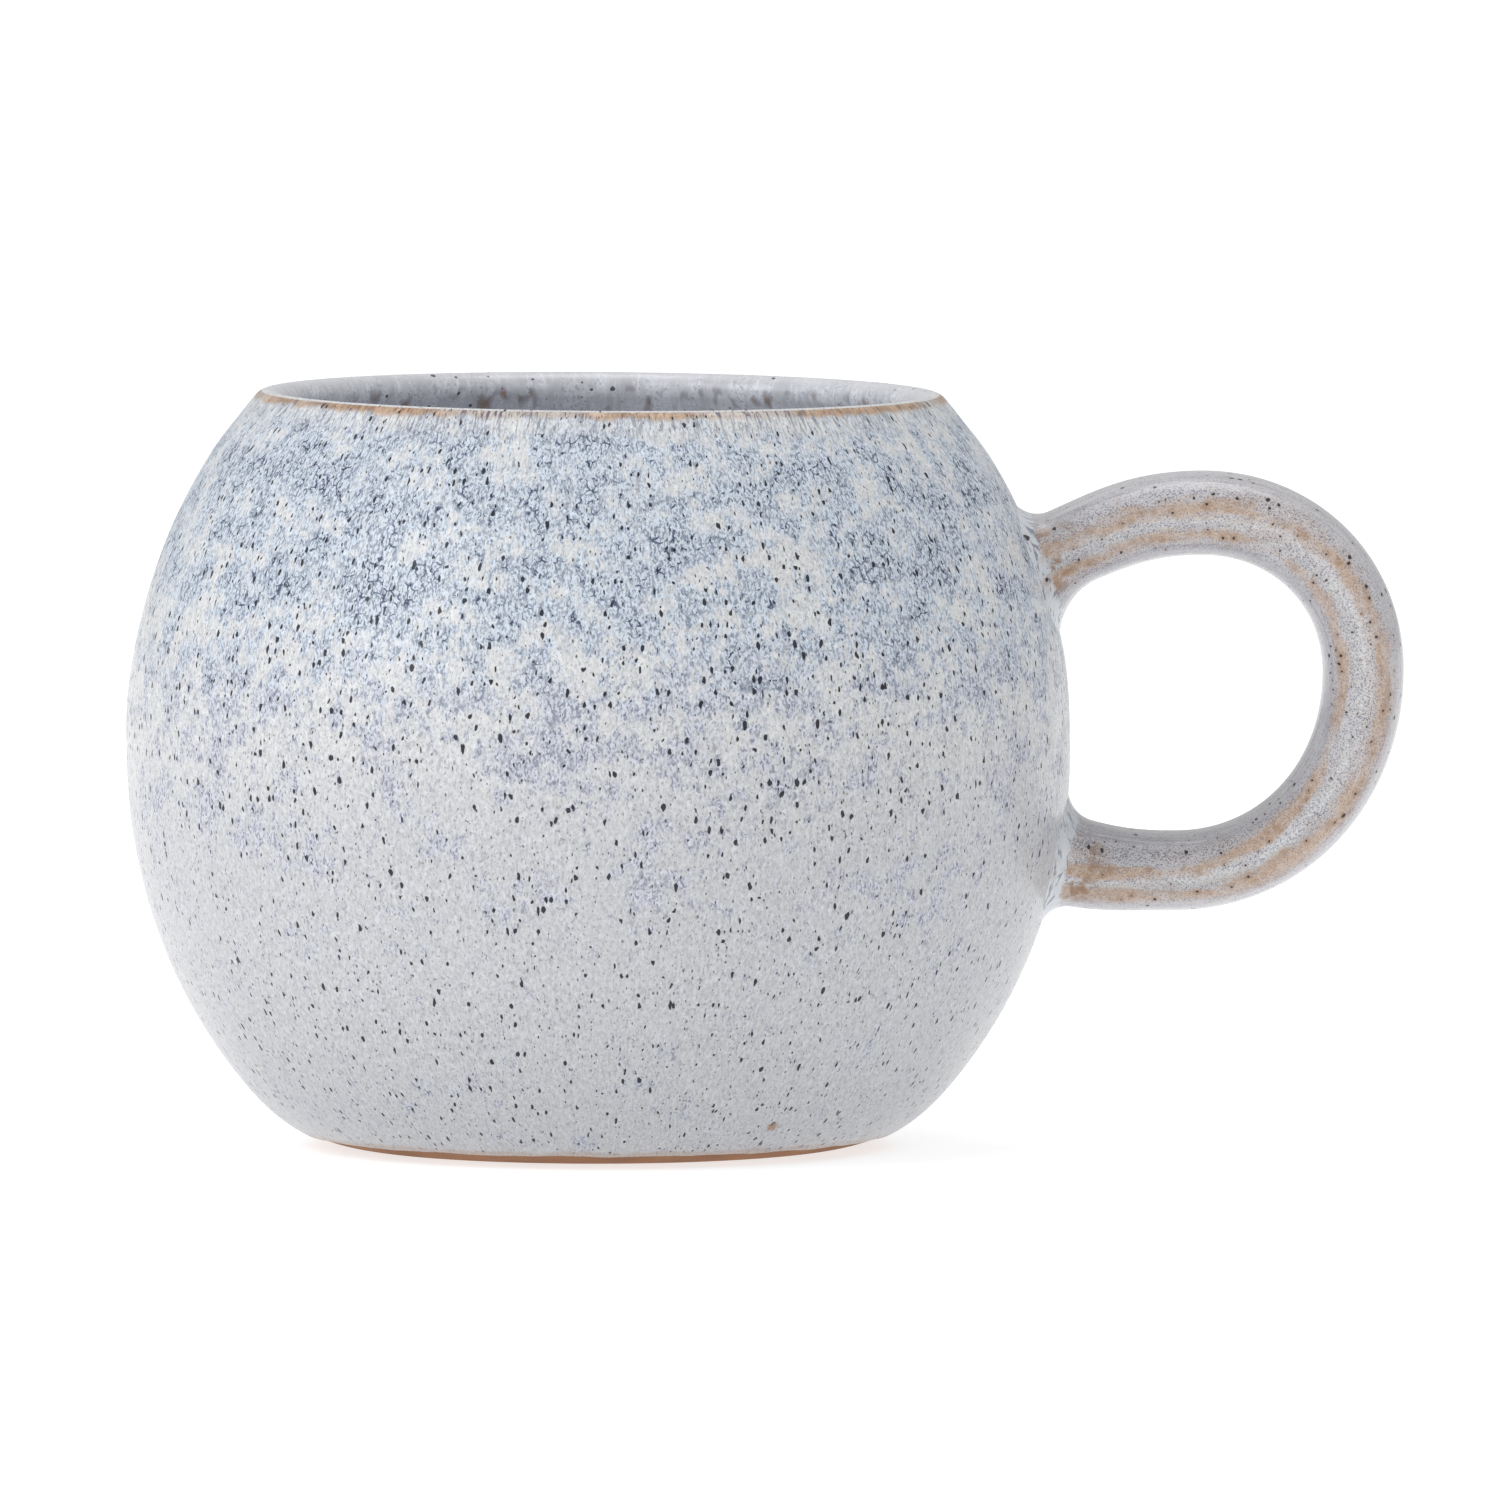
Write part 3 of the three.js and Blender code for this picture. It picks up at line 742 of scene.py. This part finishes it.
def liner_finish(glaze):
    """The grey liner glaze. It ran down the wall in soft streaks and mottled clouds, broke brown in a few
    places near the lip and lies even on the floor."""
    f = Finish("liner_glaze")
    height = f.place.parts()[2]
    flow = f.attribute("flow")
    below = flow.parts()[2] * -1
    wall = height.between(8, 14)
    soft = f.place.shaken(1, 3).noise(4, 3, 0.6)
    grain = f.place.noise(0.35, 2, 0.7)
    ran = (flow * (1, 1, 0.2)).shaken(0.3, 1.2).noise(0.9, 2, 0.65)
    streak = soft + (ran - soft) * wall
    shade = tuple(c * 0.72 for c in glaze.liner)
    colour = (soft * 0.5 + streak * 0.5).between(0.36, 0.62).blend(shade, glaze.liner)
    violet = grain.between(0.5, 0.64) * streak.between(0.42, 0.6)
    colour = (violet * 0.38).blend(colour, glaze.line)
    blotch = (flow * (1, 1, 0.8)).shaken(0.5, 1.2).noise(2.4, 1, 0.6)
    brown = blotch.between(0.62, 0.8) * below.between(11, 8) * below.between(2, 3.5)
    dim = blotch.between(0.54, 0.66) * below.between(13, 8) * below.between(1.5, 3)
    colour = (dim * 0.3).blend(colour, glaze.line)
    colour = (brown * 0.75).blend(colour, glaze.rust)
    # Paler just inside the lip: in part glaze that ran thin, in part a painted highlight on the lip's inner
    # round.
    thin = (below + (streak - 0.5) * 2.5).between(2.6, 1.4)
    colour = (thin * 0.5).blend(colour, glaze.white)
    dark, _, _, _ = spots(f.place, 1.6, 0.08, 0.3, 0.6)
    colour = (dark * 0.85).blend(colour, glaze.ink)
    relief = f.place.noise(2.0, 2, 0.5) * 0.05 + streak * 0.03
    return f.paint(colour, 0.2 + soft * 0.08, relief, IOR=1.45)


def handle_finish(glaze):
    """The handle's glaze. It pools white in the groove, thins on the two ridges until the clay shows tan,
    more so along the lower half of the loop, and is full of fine violet and white specks, with faint warm
    clouds. Beside the cup it is the cup's own blue-white, with brown patches where it drew back."""
    f = Finish("handle_glaze")
    flow = f.attribute("flow")
    strap = f.attribute("strap")
    inner, outer, groove = f.attribute("ridges").parts()
    wall, side, _ = f.attribute("edge").parts()
    run = strap * (0.35, 1, 1)
    patchy = run.shaken(0.5, 1.5).noise(1.7, 3, 0.65) - 0.5
    broad = (strap * (1, 0.3, 0.3)).noise(12, 1) - 0.5
    grain = strap.noise(0.26, 2, 0.8) - 0.5
    ridge = inner.most(outer)
    late = strap.parts()[0].between(30, 90)
    thin = (ridge * (0.75 + broad * 2 + late * 0.25) + patchy * 2 + grain).between(0.2, 0.92) * side
    pooled = groove * side * (patchy + grain * 0.5).between(-0.1, 0.1)
    colour = pooled.blend(glaze.sleeve, glaze.cream)
    warm = (run + 21.4).noise(3.5, 2, 0.6).between(0.46, 0.66) * grain.between(-0.2, 0.1)
    colour = (warm * side * (1 - pooled) * 0.4).blend(colour, glaze.tan)
    colour = (thin * 0.85).blend(colour, glaze.tan)
    violet = (strap.noise(0.17, 1, 0.6) + patchy * 0.3).between(0.5, 0.6)
    colour = (violet * (0.66 - pooled * 0.3 - thin * 0.25) * (0.5 + side * 0.5)).blend(colour, glaze.line)
    colour = (grain.between(0.02, 0.14) * (0.2 + side * 0.5 - thin * 0.3)).blend(colour, glaze.cream)
    seam = (strap * (0.05, 1, 1)).shaken(0.2, 3).noise(0.55, 1, 0.6)
    colour = (seam.between(0.54, 0.66) * (1 - side) * 0.17).blend(colour, glaze.line)
    colour = (seam.between(0.44, 0.32) * (1 - side) * 0.32).blend(colour, glaze.cream)

    joint = wall + (strap.noise(1.2, 2, 0.6) - 0.5) * 1.2
    bare = (strap + 7.7).noise(2.2, 2, 0.6).between(0.44, 0.54)
    brown = joint.between(1.4, 1.7) * joint.between(6, 2.5) * bare * side
    colour = (brown * 0.85).blend(colour, glaze.rust)
    vein = (flow * (1, 1, 0.3)).noise(0.4, 2, 0.6)
    colour = (joint.between(1.5, 1.1) * 0.9).blend(colour, vein.blend(glaze.blue, glaze.cream))
    colour = (vein.between(0.54, 0.62) * joint.between(1.7, 1.2) * 0.6).blend(colour, glaze.line)
    colour = (vein.between(0.46, 0.4) * joint.between(1.7, 1.2) * 0.7).blend(colour, glaze.cream)

    dark, gap, seen, _ = spots(strap, 1.2, 0.1, 0.28, 0.75)
    bleed = gap.between(0.8, 0.1) * seen * (0.2 + thin * 0.8)
    colour = (bleed * 0.6).blend(colour, glaze.rust)
    colour = (dark * 0.92).blend(colour, glaze.ink)
    relief = strap.noise(1.4, 2, 0.5) * 0.06 + (strap * (0.1, 1, 1)).noise(1.1, 2, 0.5) * 0.045 - dark * 0.03
    return f.paint(colour, 0.22 + thin * 0.12, relief, IOR=1.45)


def clay_finish(glaze, name="fired_stoneware"):
    """Bare fired clay: warm and matt, with fine grit, darker grog and rings left by turning."""
    f = Finish(name)
    x, y, height = f.place.parts()
    grit = f.place.noise(0.35, 3, 0.7)
    cloud = f.place.noise(6, 2, 0.5)
    colour = cloud.between(0.3, 0.7).blend(tuple(c * 0.78 for c in glaze.clay), glaze.clay)
    colour = colour * (0.78 + grit * 0.44)
    grog, _, _, _ = spots(f.place, 1.4, 0.06, 0.2, 0.5)
    colour = (grog * 0.7).blend(colour, glaze.rust)
    ring = (x * x + y * y) ** 0.5
    turning = (ring * 3.2).math("SINE") * 0.012 * height.between(0.4, 0.1)
    relief = grit * 0.05 + turning
    return f.paint(colour, 0.72 + grit * 0.16, relief)


# ---- Operators -------------------------------------------------------------------------------------


def lengths(group):
    """A property group's sizes in millimetres."""
    return SimpleNamespace(**{name: getattr(group, name) / MM for name in type(group).__annotations__})


def mug_wall(context):
    """The cup's wall with the scene's sizes."""
    return Wall(lengths(context.scene.mug_cup))


def mug_strap(context):
    """The handle's surface with the scene's sizes."""
    return Strap(lengths(context.scene.mug_handle), mug_wall(context))


def shared_finish(context):
    """The one finish of the outside's two coats, made when the first of them asks for it."""
    return bpy.data.materials.get("speckled_reactive_glaze") or outside_finish(context.scene.mug_glaze)


# In millimetres: a coat's inside is a hair off the clay, and its outside wanders.
HAIR, UNEVEN = 0.01, 0.05

# Angles on the lip's round where the liner begins, short of the ridge, and the outside's coat ends, past it.
LINER_START, OUTSIDE_END = math.radians(80), math.radians(100)


def tucked(run, wall, side):
    """How far a coat gives way to the other one next to the lip's ridge. side is 1 for the liner, which gives
    way outside the ridge, and -1 for the outside's coat, which does so inside it."""
    beyond = side * (run[0][..., 0] - wall.lip_centre[0]) > 0
    return 0.04 * (smooth(run[1][..., 1], math.sin(LINER_START), 1.0) * beyond)


def coat(name, profile, wall, finish, node, loop=True):
    """A coat of glaze turned from its profile, with pattern coordinates that follow the glaze as it ran."""
    points = turned(profile)
    grid_piece(name, settled(points, wall), finish, [node], loop, {"flow": flow_of(points, wall)})


class Maker(bpy.types.Operator):
    """Common ground of the mug's operators."""

    bl_options = {"REGISTER", "UNDO"}


def inside_run(wall, start, columns, rows):
    """The lip's inner half, the wall's inside and the cove, from the ridge down, with the wall's normals
    turned to face the hollow."""
    lip = wall.lip_round(steps(start, wall.lip_out + TAU / 2, 16, columns))
    angle = steps(wall.lip_angle, wall.cove_angle, rows, columns)
    place, normal = wall.at(angle, wall.inside(angle))
    cove = wall.corner(wall.cove, steps(1, 0, 16, columns))
    return joined(lip, (place, -normal), cove)


def flat_disc(radius, height, count, columns):
    """Rows of a level disc, from the edge in to near the axis."""
    across = steps(radius, radius / count, count, columns)
    return np.stack([across, np.full(across.shape, float(height))], -1)


class MUG_OT_cup(Maker):
    """Builds the cup of fired clay, a profile turned about its axis"""

    bl_idname = "mug.cup"
    bl_label = "Cup"

    def execute(self, context):
        wall, columns = mug_wall(context), 240
        s = wall.s
        foot = flat_disc(s.foot_diameter / 2, 0, 40, columns)[::-1].copy()
        across = foot[..., 0]
        groove, rate = 0.05, 2.6  # Rings left by turning: half their depth, and their angle per millimetre.
        ring = groove * (1 - np.cos(across * rate))
        foot[..., 1] = ring * smooth(s.foot_diameter / 2 - across, 0.3, 2.5)
        heel = wall.corner(wall.heel, steps(0, 1, 40, columns))
        angle = steps(wall.heel_angle, wall.lip_angle, 60, columns)
        side = wall.at(angle, np.full(angle.shape, wall.lip))
        lip = wall.lip_round(steps(wall.lip_out, TAU / 4, 6, columns))
        outside, inside = joined(heel, side, lip)[0], inside_run(wall, TAU / 4, columns, 60)[0]
        floor = flat_disc(s.floor_diameter / 2, s.floor_thickness, 10, columns)
        profile = np.concatenate([foot, outside[1:], inside[1:], floor[1:]])
        finish = clay_finish(context.scene.mug_glaze)
        grid_piece("mug_cup", settled(turned(profile), wall), finish, ["cup_body"])
        return {"FINISHED"}


class MUG_OT_outside_glaze(Maker):
    """Builds the speckled white glaze, a thin shell over the outside from the bare foot to the lip"""

    bl_idname = "mug.outside_glaze"
    bl_label = "Outside Glaze"

    def execute(self, context):
        wall, columns = mug_wall(context), 432
        turn = TAU * np.arange(columns) / columns
        edge = wall.glaze_line * (1 + 0.05 * waves(turn, 0, 3, 5) + 0.04 * waves(turn, 0, 4, 2.5))
        heel = wall.corner(wall.heel, steps(edge, 1, 30, columns))
        angle = steps(wall.heel_angle, wall.lip_angle, 104, columns)
        side = wall.at(angle, np.full(angle.shape, wall.lip))
        lip = wall.lip_round(steps(wall.lip_out, OUTSIDE_END, 14, columns))
        run = joined(heel, side, lip)
        height = run[0][..., 1]
        from_edge = np.cumsum(np.linalg.norm(np.diff(run[0], axis=0, prepend=run[0][:1]), axis=-1), axis=0)
        thick = wall.s.glaze_thickness * (0.12 + 0.88 * smooth(from_edge, 0, 1.1))
        uneven = UNEVEN * waves(turn, height, 7, 11) * smooth(from_edge, 1, 8)
        uneven = uneven * smooth(wall.s.cup_height - height, 1, 10)
        outer = lifted(run, thick + uneven - tucked(run, wall, -1))
        inner = lifted(run, HAIR)[::-4]
        profile, finish = np.concatenate([outer, inner]), shared_finish(context)
        coat("mug_outside_glaze", profile, wall, finish, "outside_glaze")
        return {"FINISHED"}


class MUG_OT_blue_overglaze(Maker):
    """Builds the blue reactive coat, a thin shell over the upper half that thins out into the coat below it
    along an uneven line of drips"""

    bl_idname = "mug.blue_overglaze"
    bl_label = "Blue Overglaze"

    def execute(self, context):
        wall, columns = mug_wall(context), 432
        s = wall.s
        turn = TAU * np.arange(columns) / columns
        start, sunk = -0.28, -0.14  # The first row's angle, under the drips, and the inside's distance.
        angle = steps(start, wall.lip_angle, 90, columns)
        run = wall.at(angle, np.full(angle.shape, wall.lip + s.glaze_thickness))
        height = run[0][..., 1]
        drip = 5 * waves(turn, 0, 11, 7) + 5 * waves(turn, 0, 12, 2.5)
        fill = smooth(height - s.overglaze_height - drip, -4, 6) * smooth(s.cup_height - height, 1.6, 7)
        uneven = UNEVEN * waves(turn, height, 7, 11) * smooth(s.cup_height - height, 1, 10)
        thick = s.overglaze_thickness * fill * (1 + 0.3 * waves(turn, height, 13, 4)) - 0.05 * (1 - fill)
        outer = lifted(run, thick + uneven)
        inner = lifted(run, sunk)[::-3]
        profile, finish = np.concatenate([outer, inner]), shared_finish(context)
        coat("mug_blue_overglaze", profile, wall, finish, "blue_overglaze")
        return {"FINISHED"}


class MUG_OT_inside_glaze(Maker):
    """Builds the liner glaze, a thin shell from the lip's ridge down over the floor"""

    bl_idname = "mug.inside_glaze"
    bl_label = "Inside Glaze"

    def execute(self, context):
        wall, columns = mug_wall(context), 360
        s = wall.s
        turn = TAU * np.arange(columns) / columns
        run = inside_run(wall, LINER_START, columns, 84)
        floor = flat_disc(s.floor_diameter / 2, s.floor_thickness, 16, columns)[1:]
        height = run[0][..., 1]
        free = smooth(s.cup_height - height, 1, 12) * smooth(height, 6, 20)
        uneven = UNEVEN * waves(turn, height, 9, 9) * free
        outer = lifted(run, s.glaze_thickness + uneven - tucked(run, wall, 1))
        inner = lifted(run, HAIR)
        up = np.array([0, 1])
        low_floor, high_floor = floor + HAIR * up, floor + s.glaze_thickness * up
        profile = np.concatenate([low_floor[::-1], inner[::-3], outer, high_floor])
        finish = liner_finish(context.scene.mug_glaze)
        coat("mug_inside_glaze", profile, wall, finish, "inside_glaze", loop=False)
        return {"FINISHED"}


def following(points, strap, skin=0.0):
    """The handle follows the cup's lean where it joins the cup, and less with distance from it. skin moves
    the points inwards from the glaze's outside."""
    reach = 7
    near = np.exp(-((np.maximum(strap.distance(points), 0) / reach) ** 2))
    inset = points - skin * grid_normals(points)
    return settled(inset, strap.wall, near)


class MUG_OT_handle_glaze(Maker):
    """Builds the handle's glaze, a sleeve that runs over both fillets on to the cup"""

    bl_idname = "mug.handle_glaze"
    bl_label = "Handle Glaze"

    def execute(self, context):
        strap = mug_strap(context)
        points, along, a, b = strap.grid(200, 120, 15)
        gap = strap.distance(points)
        outer, inner = following(points, strap), following(points, strap, strap.wall.s.glaze_thickness)
        half, wide = strap.s.strap_thickness / 2, strap.s.strap_width / 2
        side = smooth(np.abs(b), 0.75, 0.97)
        layers = {
            "strap": np.stack([along, a * half, b * wide], -1),
            "ridges": np.stack(strap.ridges(along, a), -1),
            "edge": np.stack([gap, side, 0 * gap], -1),
            "flow": flow_of(points, strap.wall),
        }
        layers = {key: np.concatenate([value, value[::-1]]) for key, value in layers.items()}
        finish = handle_finish(context.scene.mug_glaze)
        grid = np.concatenate([outer, inner[::-1]])
        grid_piece("mug_handle_glaze", grid, finish, ["handle_glaze"], True, layers)
        return {"FINISHED"}


class MUG_OT_handle_clay(Maker):
    """Builds the clay under the handle's glaze: the strap, and the pad of slip in each of its joints"""

    bl_idname = "mug.handle_clay"
    bl_label = "Handle Clay"

    def execute(self, context):
        strap, flare, buried = mug_strap(context), 14, 4  # Rows of a flare past its first, and rows left out.
        points = strap.grid(120, 60, flare + 1)[0]
        clay = following(points, strap, strap.wall.s.glaze_thickness + HAIR * 3)
        finish = clay_finish(context.scene.mug_glaze, "handle_stoneware")
        slip = clay_finish(context.scene.mug_glaze, "luting_slip")
        grid_piece("mug_handle_strap", clay[flare + 1 : -flare - 1], finish, ["handle_strap"])
        grid_piece("mug_upper_joint", clay[buried : flare + 1], slip, ["upper_handle_joint"])
        grid_piece("mug_lower_joint", clay[-flare - 1 : -buried], slip, ["lower_handle_joint"])
        return {"FINISHED"}


def softbox(name, place, aim, wide, tall, power):
    """A rectangular lamp at a place, turned to face another place."""
    lamp = bpy.data.lights.new(name, "AREA")
    lamp.shape, lamp.size, lamp.size_y, lamp.energy = "RECTANGLE", wide, tall, power
    made = bpy.data.objects.new(name, lamp)
    made.location = place
    made.rotation_euler = (Vector(aim) - Vector(place)).to_track_quat("-Z", "Y").to_euler()
    made.visible_camera = False
    bpy.context.scene.collection.objects.link(made)


class MUG_OT_stage(Maker):
    """Makes the pale floor, the white surroundings, the softboxes and the camera"""

    bl_idname = "mug.stage"
    bl_label = "Stage"

    def execute(self, context):
        scene = context.scene
        half, drop = 14.0, -0.00015  # The floor's half width, and how far it lies under the foot.
        corners = [(-half, -half, drop), (half, -half, drop), (half, half, drop), (-half, half, drop)]
        mesh = bpy.data.meshes.new("studio_floor")
        mesh.from_pydata(corners, [], [(0, 1, 2, 3)])
        glow = {"Specular_IOR_Level": 0.0, "Emission_Color": (1, 1, 1, 1), "Emission_Strength": 0.7}
        mesh.materials.append(Finish("studio_floor").paint((0.55, 0.55, 0.55, 1), 0.9, **glow))
        floor = bpy.data.objects.new("studio_floor", mesh)
        scene.collection.objects.link(floor)

        world = bpy.data.worlds.new("white_studio")
        world.use_nodes = True
        around = world.node_tree.nodes["Background"].inputs
        around["Color"].default_value, around["Strength"].default_value = (1, 1, 1, 1), 0.6
        scene.world = world
        centre = (0, 0, 0.04)
        softbox("left_softbox", (-1.3, -0.9, 0.9), centre, 1.1, 1.1, 12)
        softbox("top_softbox", (0.1, 0.2, 1.5), centre, 0.9, 0.9, 7)

        lens = bpy.data.cameras.new("front_camera")
        lens.sensor_width, lens.lens = 36, 680.6
        lens.clip_start, lens.clip_end = 0.1, 60
        camera = bpy.data.objects.new("front_camera", lens)
        distance, eye, down, aside = 3, 0.2555, math.radians(4.073), math.radians(0.307)
        camera.location = (0, -distance, eye)
        camera.rotation_euler = Euler((TAU / 4 - down, 0, -aside))
        scene.collection.objects.link(camera)
        scene.camera = camera
        scene.view_settings.view_transform = "Standard"
        return {"FINISHED"}


class MUG_PT_panel(bpy.types.Panel):
    """Lists the mug's operators and sizes"""

    bl_label = "Stoneware Mug"
    bl_idname = "MUG_PT_panel"
    bl_space_type = "VIEW_3D"
    bl_region_type = "UI"
    bl_category = "Mug"

    def draw(self, context):
        for operator in operators:
            self.layout.operator(operator.bl_idname)
        for group in (context.scene.mug_cup, context.scene.mug_handle, context.scene.mug_glaze):
            column = self.layout.column()
            for name in type(group).__annotations__:
                column.prop(group, name)


operators = (
    MUG_OT_cup,
    MUG_OT_handle_clay,
    MUG_OT_outside_glaze,
    MUG_OT_blue_overglaze,
    MUG_OT_inside_glaze,
    MUG_OT_handle_glaze,
    MUG_OT_stage,
)
groups = {"mug_cup": MUG_PG_cup, "mug_handle": MUG_PG_handle, "mug_glaze": MUG_PG_glaze}


def register():
    for item in (*groups.values(), *operators, MUG_PT_panel):
        bpy.utils.register_class(item)
    for name, group in groups.items():
        setattr(bpy.types.Scene, name, PointerProperty(type=group))


def unregister():
    for name in groups:
        delattr(bpy.types.Scene, name)
    for item in (MUG_PT_panel, *reversed(operators), *groups.values()):
        bpy.utils.unregister_class(item)


def main():
    """Builds the mug and its stage."""
    register()
    bpy.ops.mug.cup()
    bpy.ops.mug.handle_clay()
    bpy.ops.mug.outside_glaze()
    bpy.ops.mug.blue_overglaze()
    bpy.ops.mug.inside_glaze()
    bpy.ops.mug.handle_glaze()
    bpy.ops.mug.stage()


if __name__ == "__main__":
    main()
